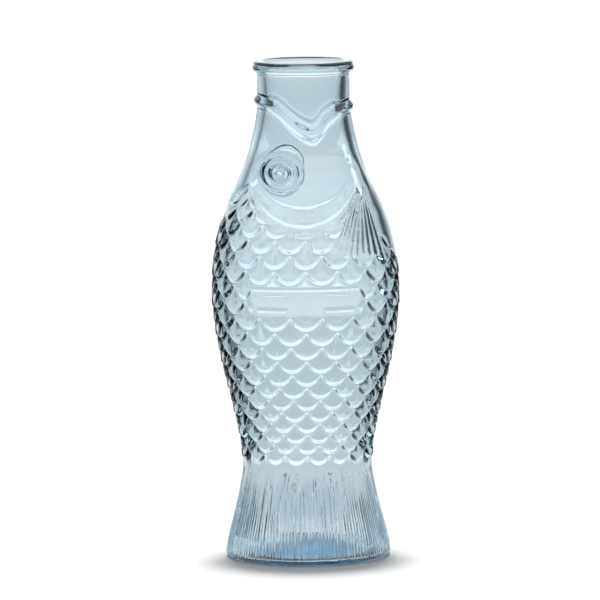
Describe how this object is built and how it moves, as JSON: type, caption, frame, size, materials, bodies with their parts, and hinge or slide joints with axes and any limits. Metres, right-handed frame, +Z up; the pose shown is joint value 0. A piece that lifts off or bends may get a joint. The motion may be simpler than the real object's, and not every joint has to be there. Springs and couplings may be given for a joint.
{
  "type": "fish-shaped carafe",
  "caption": "Pale blue glass carafe shaped like a fish standing on its tail, covered in raised scales, with a round open mouth and a thick domed base.",
  "frame": {"origin": "middle of the base, on the surface that the carafe stands on", "axes": "+Z up through the mouth; +X towards the fish's belly, where the side fins are; -Y out of the front flank"},
  "size_m": [0.106, 0.0894, 0.28],
  "materials": {
    "pale_blue_glass": "fire-polished clear glass with a pale blue tint"
  },
  "bodies": {
    "root": {"base_floor": "pale_blue_glass", "tail_wall": "pale_blue_glass", "scaled_body": "pale_blue_glass", "head_wall": "pale_blue_glass", "neck_wall": "pale_blue_glass", "rim_bead": "pale_blue_glass", "lip_band": "pale_blue_glass", "eye_front": "pale_blue_glass", "gill_cover_front": "pale_blue_glass", "side_fin_front": "pale_blue_glass", "label_panel_front": "pale_blue_glass", "eye_back": "pale_blue_glass", "gill_cover_back": "pale_blue_glass", "side_fin_back": "pale_blue_glass", "label_panel_back": "pale_blue_glass"}
  },
  "joints": []
}
